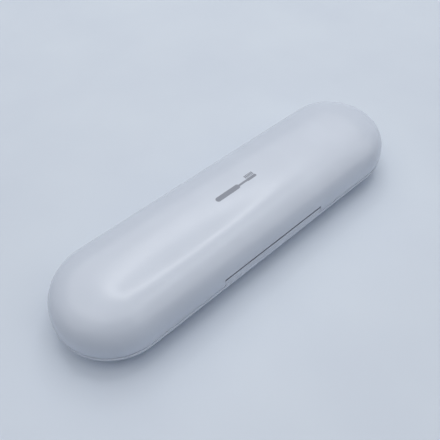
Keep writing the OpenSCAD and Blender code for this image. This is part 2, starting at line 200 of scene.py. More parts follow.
white_abs = moulded_plastic("satin_white_abs", "#CFD7E5", "#CCD4E2", roughness=0.22, grain=0.35,
                            depth=0.012)
hinge_nylon = moulded_plastic("white_hinge_nylon", "#CFD6E3", "#CBD2E0", roughness=0.26, grain=0.5,
                              depth=0.01)
# A darker grey for the groove over the hinge: painted shade that deepens its dark line
groove_shade_nylon = moulded_plastic("painted_groove_shade_nylon", "#ADB4C0", "#A2AAB6", roughness=0.7, grain=0.5,
                              depth=0.02)
grey_abs = moulded_plastic("grained_grey_abs", "#B4B9C1", "#AEB3BC", roughness=0.55, grain=0.6, depth=0.05)
print("plastics:", white_abs.name, hinge_nylon.name, groove_shade_nylon.name, grey_abs.name)


# %% [markdown]
# ### Soft rubber
#
# The pads and clips that touch the toothbrush are a thermoplastic elastomer, the soft rubber of
# grips. It is nearly matt, a little velvety at a glancing angle, and it picks up a fine dust. A
# little sheen gives the velvet, and a fine noise lightens the dusty spots.

# %% Soft rubber
def soft_rubber():
    material, tree, place = new_material("grey_elastomer")
    dust = add_node(tree, "ShaderNodeTexNoise", Vector=place, Scale=per_mm(1.6), Detail=6.0, Roughness=0.7)
    tone = add_node(tree, "ShaderNodeValToRGB", stops=[(0.45, "#737882"), (0.8, "#8A8F98")], Fac=dust)
    skin = add_node(tree, "ShaderNodeTexNoise", Vector=place, Scale=per_mm(0.4), Detail=3.0)
    relief = add_node(tree, "ShaderNodeBump", Strength=0.4, Distance=0.04 * MM, Height=skin)
    shader = add_node(tree, "ShaderNodeBsdfPrincipled", Base_Color=tone, IOR=1.5, Roughness=0.72,
                      Normal=relief, Sheen_Weight=0.25, Sheen_Roughness=0.5)
    add_node(tree, "ShaderNodeOutputMaterial", Surface=shader)
    return material


elastomer = soft_rubber()
print("soft parts:", elastomer.name)


# %% [markdown]
# ### Metals
#
# There are three metals in the case. The screws are zinc-plated steel, bright but slightly milky.
# The hinge pin is ground stainless steel: the grinding wheel leaves fine rings round it, drawn by
# a noise that is squeezed along the pin. The magnets are nickel plated, almost a mirror with
# faint smudges. A metal keeps the default IOR, because its colour already gives its reflection.

# %% Metals
def plated_metal(name, colour, shadow, roughness, spread, marks_width, squeeze=(1, 1, 1)):
    """The gloss varies by the spread; the marks' width is in millimetres."""
    material, tree, place = new_material(name)
    spot = add_node(tree, "ShaderNodeMapping", Vector=place, Scale=squeeze)
    marks = add_node(tree, "ShaderNodeTexNoise", Vector=spot, Scale=per_mm(marks_width), Detail=4.0)
    tone = add_node(tree, "ShaderNodeMix", {"data_type": "RGBA"}, in_0=marks, in_6=linear(shadow),
                    in_7=linear(colour))
    gloss = add_node(tree, "ShaderNodeMapRange", Value=marks, From_Min=0.3, From_Max=0.7,
                     To_Min=roughness - spread, To_Max=roughness + spread)
    relief = add_node(tree, "ShaderNodeBump", Strength=0.2, Distance=0.01 * MM, Height=marks)
    shader = add_node(tree, "ShaderNodeBsdfPrincipled", Base_Color=tone.outputs[2], Metallic=1.0,
                      Roughness=gloss, Normal=relief)
    add_node(tree, "ShaderNodeOutputMaterial", Surface=shader)
    return material


zinc = plated_metal("zinc_plated_steel", "#CDD0D4", "#B4B8BE", roughness=0.32, spread=0.08, marks_width=0.5)
# The grinding rings are 0.02 mm apart on the real pin; they are drawn 0.2 mm apart to show at all
ground_steel = plated_metal("ground_stainless_steel", "#C6C8CB", "#A9ACB1", roughness=0.25, spread=0.08,
                            marks_width=3, squeeze=(15, 0.2, 0.2))
nickel = plated_metal("nickel_plating", "#D3CFC6", "#C4C0B7", roughness=0.14, spread=0.05, marks_width=3)
print("metals:", zinc.name, ground_steel.name, nickel.name)


# %% [markdown]
# ### Printing ink
#
# A small grey sign is pad-printed on the lid: a soft pad picks the ink up and presses it on the
# plastic. The film is about 0.02 mm thick, a little more matt than the plastic round it, with
# pinholes that only a close look finds. They are 0.25 mm apart, so a fine noise draws them.

# %% Printing ink
def printed_ink():
    material, tree, place = new_material("grey_pad_print_ink")
    speckle = add_node(tree, "ShaderNodeTexNoise", Vector=place, Scale=per_mm(0.25), Detail=2.0)
    tone = add_node(tree, "ShaderNodeValToRGB", stops=[(0.3, "#9499A5"), (0.5, "#8B909C")], Fac=speckle)
    shader = add_node(tree, "ShaderNodeBsdfPrincipled", Base_Color=tone, Roughness=0.55)
    add_node(tree, "ShaderNodeOutputMaterial", Surface=shader)
    return material


ink = printed_ink()
print("ink:", ink.name)

# %% [markdown]
# ## A tree that carries a section round a capsule
#
# Seen from above, the shells, the decks, the trough for the handle and the wells for the brush
# heads are all capsules: a straight run with a half-turn at each end. Each of them has one section
# that stays the same all the way round. So the section is drawn once, as a row of points with x
# as the distance from the middle line and z as the height, and one Geometry Nodes tree carries it
# round. With no straight run the same tree turns a screw or a magnet, as a lathe does.
#
# The tree starts from a flat grid. Its columns go round the capsule and its rows go along the
# section. The column number is spread over four stretches, run, turn, run, turn, each by a
# clamped Map Range, and these give a centre and an angle. The row number picks a point of the
# section. Where the section ends on the middle line, the last row folds onto itself, and Merge
# by Distance closes it. A sweep along a curve would be shorter to build, but the middle line has
# no length in its turns, so a sweep would leave them out.

# %% Helpers for Geometry Nodes
def new_tree(name, inputs):
    tree = bpy.data.node_groups.new(name, "GeometryNodeTree")
    tree.interface.new_socket("Geometry", in_out="INPUT", socket_type="NodeSocketGeometry")
    for label, kind in inputs:
        tree.interface.new_socket(label, in_out="INPUT", socket_type=kind)
    tree.interface.new_socket("Geometry", in_out="OUTPUT", socket_type="NodeSocketGeometry")
    return tree, add_node(tree, "NodeGroupInput").outputs


def bake(piece):
    """Turn the modifiers' result into the piece's own plain mesh."""
    graph = bpy.context.evaluated_depsgraph_get()
    mesh = bpy.data.meshes.new_from_object(piece.evaluated_get(graph), depsgraph=graph)
    piece.modifiers.clear()
    piece.data = mesh
    return piece


def new_piece(name, mesh):
    piece = bpy.data.objects.new(name, mesh)
    bpy.context.collection.objects.link(piece)
    return piece


def run_tree(piece, tree, inputs):
    """Run a tree on a piece; its inputs are given by name, and a modifier knows them by identifier."""
    modifier = piece.modifiers.new(tree.name, "NODES")
    modifier.node_group = tree
    sockets = {item.name: item.identifier for item in tree.interface.items_tree if item.in_out == "INPUT"}
    for name, value in inputs.items():
        modifier[sockets[name]] = value
    return bake(piece)


MATH = "ShaderNodeMath"
PLUS = {"operation": "ADD"}
MINUS = {"operation": "SUBTRACT"}
TIMES = {"operation": "MULTIPLY"}


# %% The capsule tree
def capsule_tree():
    tree, given = new_tree("carry_section_round_capsule", [
        ("Half run", "NodeSocketFloat"), ("Run steps", "NodeSocketInt"), ("Turn steps", "NodeSocketInt"),
        ("Material", "NodeSocketMaterial")])
    place = add_node(tree, "GeometryNodeInputPosition")

    # The grid has a row for each point of the section, and each stretch ends at its own column
    points = add_node(tree, "GeometryNodeAttributeDomainSize", Geometry=given["Geometry"])
    rows = points.outputs["Point Count"]
    last_row = add_node(tree, MATH, MINUS, in_0=rows, in_1=1.0)
    ends = [0.0, given["Run steps"]]
    for steps in ("Turn steps", "Run steps", "Turn steps"):
        ends.append(add_node(tree, MATH, PLUS, in_0=ends[-1], in_1=given[steps]))
    columns = add_node(tree, MATH, PLUS, in_0=ends[-1], in_1=1.0)
    grid = add_node(tree, "GeometryNodeMeshGrid", Size_X=ends[-1], Size_Y=last_row, Vertices_X=columns,
                    Vertices_Y=rows)

    # The grid lies round the origin, so half its size is added to count from its corner
    spot = add_node(tree, "ShaderNodeSeparateXYZ", Vector=place)
    half_columns = add_node(tree, MATH, TIMES, in_0=ends[-1], in_1=0.5)
    half_rows = add_node(tree, MATH, TIMES, in_0=last_row, in_1=0.5)
    column = add_node(tree, MATH, PLUS, in_0=spot.outputs["X"], in_1=half_columns)
    row = add_node(tree, MATH, PLUS, in_0=spot.outputs["Y"], in_1=half_rows)
    whole_row = add_node(tree, MATH, {"operation": "ROUND"}, in_0=row)
    point = add_node(tree, "GeometryNodeSampleIndex", {"data_type": "FLOAT_VECTOR"},
                     Geometry=given["Geometry"], Value=place, Index=whole_row)
    section = add_node(tree, "ShaderNodeSeparateXYZ", Vector=point.outputs["Value"])

    # Each share goes from 0 to 1 over its own stretch; the runs move the centre, the turns the angle
    shares = []
    for start, stop in zip(ends, ends[1:]):
        shares.append(add_node(tree, "ShaderNodeMapRange", Value=column, From_Min=start, From_Max=stop))
    runs = add_node(tree, MATH, MINUS, in_0=shares[0], in_1=shares[2])
    twice = add_node(tree, MATH, TIMES, in_0=runs, in_1=2.0)
    along = add_node(tree, MATH, MINUS, in_0=twice, in_1=1.0)
    centre = add_node(tree, MATH, TIMES, in_0=along, in_1=given["Half run"])
    turns = add_node(tree, MATH, PLUS, in_0=shares[1], in_1=shares[3])
    turned = add_node(tree, MATH, MINUS, in_0=0.5, in_1=turns)
    angle = add_node(tree, MATH, TIMES, in_0=turned, in_1=math.pi)

    # The section's point goes out from that centre at that angle
    cosine = add_node(tree, MATH, {"operation": "COSINE"}, in_0=angle)
    sine = add_node(tree, MATH, {"operation": "SINE"}, in_0=angle)
    aside = add_node(tree, MATH, TIMES, in_0=section.outputs["X"], in_1=cosine)
    x = add_node(tree, MATH, PLUS, in_0=centre, in_1=aside)
    y = add_node(tree, MATH, TIMES, in_0=section.outputs["X"], in_1=sine)
    moved = add_node(tree, "ShaderNodeCombineXYZ", X=x, Y=y, Z=section.outputs["Z"])
    carried = add_node(tree, "GeometryNodeSetPosition", Geometry=grid, Position=moved)
    closed = add_node(tree, "GeometryNodeMergeByDistance", Geometry=carried, Distance=0.001 * MM)
    smooth = add_node(tree, "GeometryNodeSetShadeSmooth", Geometry=closed)
    finished = add_node(tree, "GeometryNodeSetMaterial", Geometry=smooth, Material=given["Material"])
    whole = add_node(tree, "GeometryNodeRealizeInstances", Geometry=finished)
    add_node(tree, "NodeGroupOutput", Geometry=whole)
    return tree


carry_round = capsule_tree()
print("capsule tree:", len(carry_round.nodes), "nodes")


# %% [markdown]
# A short function runs the tree on one section and gives back a plain object. Which way its faces
# point depends on which way the section was drawn, so the normals are turned outwards by Blender
# on the closed mesh, once, for every piece in the same way.

# %% Carry one section
RUN_STEPS = 36
TURN_STEPS = 48
# Points closer than this are one point
WELD = 0.002 * MM


def carried(name, section, half_run, material, centre=(0, 0), run_steps=RUN_STEPS, turn_steps=TURN_STEPS):
    mesh = bpy.data.meshes.new(name)
    mesh.from_pydata([(r, 0, z) for r, z in section], [], [])
    piece = run_tree(new_piece(name, mesh), carry_round, {
        "Half run": half_run, "Run steps": run_steps, "Turn steps": turn_steps, "Material": material})
    piece.data.transform(Matrix.Translation((*centre, 0)))
    return piece


def point_outwards(mesh):
    cells = bmesh.new()
    cells.from_mesh(mesh)
    bmesh.ops.remove_doubles(cells, verts=cells.verts, dist=WELD)
    bmesh.ops.recalc_face_normals(cells, faces=cells.faces)
    open_edges = sum(1 for edge in cells.edges if not edge.is_manifold)
    cells.to_mesh(mesh)
    cells.free()
    return open_edges


def turned(name, section, material, steps):
    """Lathe work: a section that is carried round a point."""
    piece = carried(name, section, 0, material, run_steps=1, turn_steps=steps)
    point_outwards(piece.data)
    return piece


# %% [markdown]
# ## Sections
#
# The outline of each shell is a superellipse: an ellipse whose power is more than 2, which makes
# its shoulders fuller. The lid is squarer than the base. A second function rounds a corner of a
# section with a true arc, as the mould maker's cutter does, because a sharp edge never catches
# the light.

# %% Superellipse and rounded corner
def superellipse(half, height, power, start, stop, steps):
    """Points from one distance to another from the parting plane, as (half-width, distance)."""
    first = math.asin((start / height) ** (power / 2))
    last = math.asin(min(1, stop / height) ** (power / 2))
    points = []
    for i in range(steps + 1):
        t = first + (last - first) * i / steps
        points.append((half * max(0, math.cos(t)) ** (2 / power), height * math.sin(t) ** (2 / power)))
    if stop >= height:
        points[-1] = (0, height)
    return points


def round_corner(points, index, radius, steps=5):
    """Replace one point of a section by an arc that touches both of its sides."""
    corner = Vector(points[index])
    back = (Vector(points[index - 1]) - corner).normalized()
    ahead = (Vector(points[index + 1]) - corner).normalized()
    half = back.angle(ahead) / 2
    centre = corner + (back + ahead).normalized() * radius / math.sin(half)
    start = corner + back * radius / math.tan(half) - centre
    sweep = (corner + ahead * radius / math.tan(half) - centre).angle_signed(start)
    bend = [centre + Matrix.Rotation(sweep * i / steps, 2) @ start for i in range(steps + 1)]
    return points[:index] + [tuple(point) for point in bend] + points[index + 1:]


test_arc = round_corner([(1, 0), (0, 0), (0, 1)], 1, 0.5)
print("arc from", [round(c, 3) for c in test_arc[1]], "to", [round(c, 3) for c in test_arc[-2]])


# %% [markdown]
# ## The two shells
#
# A shell's section runs from the middle of its inside, down the inner wall, across the seam
# and back up the outside. The foot of the lid is drawn in by 0.55 mm, so the rounded rim of the
# base stands out below it as a fine ledge. It catches the light and makes the thin bright line
# that runs round the closed case. The base is cut flat underneath so that the case stands, and
# the edge of that flat is softened too.

# %% Shell sections
seam_radius = 0.5 * MM
lid_edge_radius = 0.2 * MM
inner_radius = 0.25 * MM
foot_radius = 2 * MM
ledge = 0.55 * MM
draw_in_height = 4 * MM
half_seam = (lid_seam - base_seam) / 2
# The lid's skin is drawn this much low, which leaves room for the printed sign
ink_film = 0.02 * MM


def drawn_in(r, h):
    low = max(0, 1 - h / draw_in_height)
    return (r - ledge * low * low, h)


def lid_section():
    inside = superellipse(half_width - wall, lid_height - wall, lid_power, half_seam, lid_height, steps=30)
    outside = superellipse(half_width, lid_height - ink_film, lid_power, half_seam, lid_height, steps=40)
    points = inside[::-1] + [drawn_in(r, h) for r, h in outside]
    points = round_corner(points, len(inside), lid_edge_radius)
    points = round_corner(points, len(inside) - 1, inner_radius, 3)
    return [(r, parting + h) for r, h in points]


def base_section():
    floor_depth = parting - wall
    inside = superellipse(half_width - wall, base_depth - wall, base_power, half_seam, floor_depth, steps=24)
    outside = superellipse(half_width, base_depth, base_power, half_seam, parting, steps=30)
    points = [(0, floor_depth)] + inside[::-1] + outside + [(0, parting)]
    points = round_corner(points, len(points) - 2, foot_radius, 3)
    points = round_corner(points, len(inside) + 1, seam_radius)
    points = round_corner(points, len(inside), inner_radius, 3)
    return [(r, parting - h) for r, h in points]


lid_shell = carried("lid_shell_moulding", lid_section(), half_run, white_abs)
base_shell = carried("base_shell_moulding", base_section(), half_run, white_abs)
for piece in (lid_shell, base_shell):
    print(piece.name, "open edges:", point_outwards(piece.data), "faces:", len(piece.data.polygons))

# %% [markdown]
# ### Cutters
#
# The lid has a long notch for the hinge and a shallow scoop for the thumb, and the base has seats
# for the leaf of the hinge. They are cut with Boolean modifiers, as a milling cutter would, from
# closed solids: a block, or an outline that is pushed along one axis. A cut leaves sharp edges,
# so the chosen ones get a small bevel afterwards. Weighted normals then keep the broad faces
# smooth up to the bevel.

# %% Blocks, prisms and cuts
def from_cells(name, cells, material):
    bmesh.ops.recalc_face_normals(cells, faces=cells.faces)
    mesh = bpy.data.meshes.new(name)
    cells.to_mesh(mesh)
    cells.free()
    mesh.materials.append(material)
    return new_piece(name, mesh)


def prism(name, outline, axis, start, stop, material):
    """Push an outline along X, Y or Z; its points are the two other coordinates, in order."""
    cells = bmesh.new()
    rings = []
    for level in (start, stop):
        corners = [list(point) for point in outline]
        for corner in corners:
            corner.insert("XYZ".index(axis), level)
        rings.append([cells.verts.new(corner) for corner in corners])
    cells.faces.new(rings[0])
    cells.faces.new(rings[1])
    for i in range(len(outline)):
        cells.faces.new((rings[0][i - 1], rings[0][i], rings[1][i], rings[1][i - 1]))
    return from_cells(name, cells, material)


def block(low, high, material):
    outline = [(low[1], low[2]), (high[1], low[2]), (high[1], high[2]), (low[1], high[2])]
    return prism("block", outline, "X", low[0], high[0], material)


def arc(centre, radius, start, stop, steps):
    angles = [math.radians(start + (stop - start) * i / steps) for i in range(steps + 1)]
    return [(centre[0] + radius * math.cos(a), centre[1] + radius * math.sin(a)) for a in angles]


def combine(piece, tools, operation):
    for tool in tools:
        modifier = piece.modifiers.new(operation, "BOOLEAN")
        modifier.operation = operation
        modifier.solver = "EXACT"
        modifier.object = tool
    bake(piece)
    for tool in tools:
        bpy.data.objects.remove(tool)
    return piece


# %% Edge bevel and normals
def soften(piece, radius, angle=50, segments=2, where=None):
    """Bevel the sharp edges, all of them or those whose middle passes the test."""
    cells = bmesh.new()
    cells.from_mesh(piece.data)
    bmesh.ops.remove_doubles(cells, verts=cells.verts, dist=WELD)
    bmesh.ops.dissolve_degenerate(cells, edges=cells.edges, dist=WELD)
    sharp = [edge for edge in cells.edges
             if edge.is_manifold and edge.calc_face_angle() > math.radians(angle)
             and (where is None or where((edge.verts[0].co + edge.verts[1].co) / 2))]
    bmesh.ops.bevel(cells, geom=sharp, offset=radius, segments=segments, profile=0.5,
                    affect="EDGES", clamp_overlap=False)
    for face in cells.faces:
        face.smooth = True
    cells.to_mesh(piece.data)
    cells.free()
    return len(sharp)


def weigh_normals(piece):
    for polygon in piece.data.polygons:
        polygon.use_smooth = True
    piece.data.set_sharp_from_angle(angle=math.radians(40))
    modifier = piece.modifiers.new("normals", "WEIGHTED_NORMAL")
    modifier.mode = "FACE_AREA"
    modifier.keep_sharp = True
    bake(piece)
    return piece


# %% [markdown]
# ### Screw posts and seats
#
# Under the tray and over the liner, the shells carry posts that the deck screws bite into. Their
# places are read from the screws themselves: a helper splits a CAD part into its separate solids
# and gives the box of each. A post is a small tube that ends just inside the curved wall, so the
# wall's height at that spot comes from the superellipse again.

# %% Find the separate solids of a CAD part
def solids_of(node):
    """Boxes of the separate solids of a CAD part, as (low, high), sorted along X and then Y."""
    cells = bmesh.new()
    cells.from_mesh(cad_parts[node].data)
    bmesh.ops.remove_doubles(cells, verts=cells.verts, dist=WELD)
    boxes = []
    unseen = set(cells.verts)
    while unseen:
        front = [unseen.pop()]
        group = list(front)
        while front:
            vert = front.pop()
            reached = {edge.other_vert(vert) for edge in vert.link_edges} & unseen
            unseen -= reached
            front.extend(reached)
            group.extend(reached)
        low = Vector(min(vert.co[i] for vert in group) for i in range(3))
        high = Vector(max(vert.co[i] for vert in group) for i in range(3))
        boxes.append((low, high))
    cells.free()
    return sorted(boxes, key=lambda box: (round(box[0].x, 4), round(box[0].y, 4)))


def middle(box):
    return (box[0] + box[1]) / 2


tray_screw_boxes = solids_of("tray_screws")
liner_screw_boxes = solids_of("liner_screws")
for box in tray_screw_boxes:
    print("deck screw at", [round(c / MM, 2) for c in middle(box)])


# %% [markdown]
# ### The lid's notch, scoop and bracket seats
#
# The notch is 78.4 mm long, and the lid's edge over it is hollowed round the hinge barrel, so that
# it passes close by when the lid swings. Beside the notch, a pocket in the wall takes the eye that
# turns round the pin. The thumb scoop on the other side is the edge of a big cylinder that bites
# 1.2 mm into the lid's lower rim. The places come from the boxes of the hinge parts.

# %% Sizes of the hinge
leaf_low, leaf_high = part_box("hinge_leaf")
bracket_low, bracket_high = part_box("hinge_bracket_right")
pin_low, pin_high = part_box("hinge_pin")
axis_y = (pin_low.y + pin_high.y) / 2
axis_z = (pin_low.z + pin_high.z) / 2
pin_radius = (pin_high.z - pin_low.z) / 2
barrel_radius = leaf_high.z - axis_z
barrel_half = leaf_high.x
eye_inner = bracket_low.x
eye_outer = pin_high.x
eye_radius = axis_y - bracket_low.y
gap = eye_inner - barrel_half
# The CAD model has 0.5 mm here; the line on the real case is thinner
notch_gap = 0.35 * MM
notch_radius = barrel_radius + notch_gap
barrel_face = leaf_low.y
plate = 1.5 * MM
bracket_face = bracket_high.y - plate
leaf_face = leaf_high.y - plate
print("hinge axis at y %.2f, z %.2f mm, notch %.1f mm long"
      % (axis_y / MM, axis_z / MM, 2 * eye_inner / MM))


# %% Tools for the lid's notch and for the eyes
def angle_at(offset, radius):
    """Degrees at which a circle is this far from the vertical line through its centre."""
    return math.degrees(math.acos(offset / radius))


def notch_tool():
    over = arc((axis_y, axis_z), notch_radius, angle_at(bracket_face - axis_y, notch_radius), 180, 40)
    outline = [(-2 * half_width, 0), (bracket_face, 0)] + over + [(-2 * half_width, axis_z)]
    return prism("notch", outline, "X", -eye_inner, eye_inner, white_abs)


def eye_shape(name, side, room, steps, material):
    """The eye with its web towards the inside, grown by the room all round."""
    radius = eye_radius + room
    outline = arc((axis_y, axis_z), radius, 90, 270, steps)
    outline += [(bracket_high.y, axis_z - radius), (bracket_high.y, axis_z + radius)]
    return prism(name, outline, "X", side * (eye_inner - room), side * (eye_outer + room), material)


def plate_ends(side):
    return sorted((side * eye_inner, side * bracket_high.x))


def plate_block(side, front, back, material):
    """A block as long and as high as a bracket's plate."""
    ends = plate_ends(side)
    return block((ends[0], front, bracket_low.z), (ends[1], back, bracket_high.z), material)


# %% One screw post
post_radius = 2.6 * MM
pilot_radius = 0.92 * MM
post_sink = 0.3 * MM
solid_share = 0.4
cup_depth = 3 * MM


def screw_post(box, up, height, power, tip):
    """A tube round a deck screw, from a foot sunk below the shell's skin to an open tip.
    The height and power are those of the skin, and up is 1 in the lid and -1 in the base."""
    spot = middle(box)
    reach = math.hypot(abs(spot.x) - half_run, spot.y) + post_radius
    skin = height * (1 - (reach / half_width) ** power) ** (1 / power)
    foot = parting + up * (skin - post_sink)
    bottom = foot + (tip - foot) * solid_share
    section = [(0, foot), (post_radius, foot), (post_radius, tip), (pilot_radius, tip),
               (pilot_radius, bottom), (0, bottom)]
    post = turned("post", section, white_abs, steps=24)
    post.data.transform(Matrix.Translation((spot.x, spot.y, 0)))
    return post


# %% Cut the lid
bracket_backing = 1.3 * MM
eye_room = 0.1 * MM
notch_bevel = 0.1 * MM
scoop_depth = 1.2 * MM
scoop_radius = 90 * MM
scoop_half = math.sqrt(scoop_radius ** 2 - (scoop_radius - scoop_depth) ** 2)
# A test of places allows this much, so that points on a face pass it
hair = 0.01 * MM


def cut_lid():
    added = [plate_block(side, bracket_face - bracket_backing, bracket_face, white_abs) for side in (-1, 1)]
    added += [screw_post(box, 1, lid_height, lid_power, lid_seam + cup_depth) for box in liner_screw_boxes]
    combine(lid_shell, added, "UNION")
    round_tool = arc((0, lid_seam - scoop_radius + scoop_depth), scoop_radius, 75, 105, 120)
    round_tool += [(-2 * scoop_half, 0), (2 * scoop_half, 0)]
    scoop = prism("scoop", round_tool, "Y", half_width - scoop_depth, 2 * half_width, white_abs)
    pockets = [eye_shape("pocket", side, eye_room, 20, white_abs) for side in (-1, 1)]
    combine(lid_shell, [notch_tool(), scoop] + pockets, "DIFFERENCE")


def on_notch(point):
    return (abs(point.x) <= eye_inner + hair and point.y < bracket_face - notch_bevel
            and point.z < axis_z + notch_radius)


cut_lid()
print("lid edges softened:", soften(lid_shell, notch_bevel, where=on_notch))
weigh_normals(lid_shell)

# %% [markdown]
# ### The base's hinge seats
#
# The leaf of the hinge lies in the base: a pocket takes its plate, and a shallower step takes the
# shelf that lies behind the rim's lip. Four posts rise from the floor for the screws of the tray.
# With its cuts made, a shell is handed over: it moves with its body and takes the place of its
# CAD part. Every later piece is handed over too.

# %% Cut the base
leaf_backing = 1.2 * MM
shelf = 1 * MM
shelf_edge = 1.1 * MM - half_width
shelf_room = 0.15 * MM


def cut_base():
    added = [block((-barrel_half, leaf_face - leaf_backing, leaf_low.z),
                   (barrel_half, leaf_face, parting - shelf), white_abs)]
    added += [screw_post(box, -1, base_depth, base_power, base_seam - cup_depth) for box in tray_screw_boxes]
    combine(base_shell, added, "UNION")
    pocket = block((-eye_inner, leaf_face, leaf_low.z - gap), (eye_inner, leaf_face + 2 * plate, crown),
                   white_abs)
    step = block((-eye_inner, shelf_edge - shelf_room, parting - shelf),
                 (eye_inner, leaf_face + plate, crown), white_abs)
    combine(base_shell, [pocket, step], "DIFFERENCE")


def on_rim_step(point):
    return abs(point.x) < eye_inner + hair and point.y < leaf_face and point.z > parting - 1.1 * shelf


cut_base()
print("base edges softened:", soften(base_shell, 0.12 * MM, where=on_rim_step))
weigh_normals(base_shell)


# %% Hand the shells over
def hand_over(piece, body, node):
    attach(piece, body)
    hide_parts(node)
    print(piece.name, "stands for", node, "with", len(piece.data.polygons), "faces")


hand_over(lid_shell, "lid", "lid_shell")
hand_over(base_shell, "base", "base_shell")

# %% [markdown]
# ## Tray and liner
#
# Inside, each half has a grey moulding with a flat deck, a long trough for the handle and two
# wells for spare brush heads. Tray and liner are one design, seen from two sides, so one function
# makes both. It works in depth below the visible face: the face is 0, and everything else lies
# deeper. The troughs and wells are round-ended rods that sink into the deck, and their lips have
# a radius, so that a hand never meets an edge.
#
# The faces are filled between flat outlines. The walls are carried round by the capsule tree, and
# because both take their points from the same rule, they meet point for point and merge. Cutting
# the hollows out of a plate would work too, but it would leave sharp lips and long thin faces.

# %% Flat outlines
def capsule_outline(half, radius, centre, run_steps=RUN_STEPS, turn_steps=TURN_STEPS):
    """The points that the capsule tree gives one row of its grid."""
    points = []
    for side in (1, -1):
        for i in range(run_steps):
            points.append((side * half * (2 * i / run_steps - 1), side * radius))
        for i in range(turn_steps):
            angle = math.pi * (0.5 - i / turn_steps)
            points.append((side * (half + radius * math.cos(angle)), side * radius * math.sin(angle)))
    return [(x + centre[0], y + centre[1]) for x, y in points]


bite_radius = 0.6 * MM


def deck_outline(radius, inset, cut_half, cut_y):
    """Capsule with a rectangular bite for the hinge on its -Y side, drawn in by the inset."""
    bite = cut_half + inset
    shore = cut_y + inset
    edge = inset - radius
    whole = capsule_outline(half_run, radius - inset, (0, 0))
    start = RUN_STEPS + TURN_STEPS
    back = whole[start:start + RUN_STEPS]
    before = whole[:start] + [point for point in back if point[0] > bite + 2 * bite_radius]
    after = [point for point in back if point[0] < -bite - 2 * bite_radius] + whole[start + RUN_STEPS:]
    points = before + [(bite, edge), (bite, shore), (-bite, shore), (-bite, edge)] + after
    for i in (3, 2, 1, 0):
        points = round_corner(points, len(before) + i, bite_radius, 4)
    return points


print("points in one capsule row:", len(capsule_outline(half_run, half_width, (0, 0))))

# %% Join outlines and walls into one moulding
def add_loop(cells, outline, z):
    verts = []
    for x, y in outline:
        if not verts or (verts[-1].co - Vector((x, y, z))).length > WELD:
            verts.append(cells.verts.new((x, y, z)))
    if (verts[0].co - verts[-1].co).length < WELD:
        cells.verts.remove(verts.pop())
    return verts, [cells.edges.new((verts[i - 1], verts[i])) for i in range(len(verts))]


def fill_face(cells, outlines, z):
    edges = []
    for outline in outlines:
        edges += add_loop(cells, outline, z)[1]
    bmesh.ops.triangle_fill(cells, use_beauty=True, use_dissolve=False, edges=edges, normal=(0, 0, 1))


def bridge(cells, rings):
    for low, high in zip(rings, rings[1:]):
        for i in range(len(low)):
            cells.faces.new((low[i - 1], low[i], high[i], high[i - 1]))


# %% [markdown]
# ### One function for both decks
#
# A hollow is described by its centre, its straight half-run, its radius and how deep its axis
# lies. In the tray the axis of the handle lies above the deck, so the trough is less than half a
# round. In the liner it lies far behind the face, so the trough closes over the handle. Both
# come out of the same circle.

# %% Sections of rims, hollows, screw cups and magnet pockets
deck_thickness = 1.4 * MM
rim_radius = 0.3 * MM
back_chamfer = 0.1 * MM
liner_wall = 1.2 * MM
seat_radius = 1.9 * MM
seat_depth = 1.2 * MM
shank_hole = 1.1 * MM
magnet_pocket = 4.05 * MM
magnet_ring = 5 * MM

# How far the rim of a deck is drawn in, and at which depth
rim = arc((rim_radius, rim_radius), rim_radius, -90, -180, 3)
rim += [(0, deck_thickness - back_chamfer), (back_chamfer, deck_thickness)]


def hollow_section(radius, axis_depth, start, steps=22):
    """Quarter of a circle from the depth where it starts down to its deepest point."""
    first = math.asin((start - axis_depth) / radius)
    angles = [first + (math.pi / 2 - first) * i / steps for i in range(steps + 1)]
    points = [(radius * math.cos(a), axis_depth + radius * math.sin(a)) for a in angles]
    points[-1] = (0, axis_depth + radius)
    return points


def with_lip(points, radius, steps=5):
    """Round the edge between the deck's face, at depth 0, and the wall that starts there."""
    approach = (points[0][0] + 4 * radius, 0)
    return round_corner([approach] + points, 1, radius, steps)[1:]


cup_section = with_lip([(seat_radius, 0), (seat_radius, seat_depth), (shank_hole, seat_depth),
                        (shank_hole, cup_depth), (post_radius, cup_depth), (post_radius, deck_thickness)],
                       0.25 * MM, 3)


def pocket_section(first, last):
    return [(magnet_ring, deck_thickness), (magnet_ring, last), (magnet_pocket, last), (magnet_pocket, first),
            (0, first)]


print("rim:", len(rim), "points, cup section:", len(cup_section), "points")

# %% Build a deck
LONG_STEPS = (RUN_STEPS, TURN_STEPS)
CUP_STEPS = (1, 16)
MAGNET_STEPS = (1, 24)


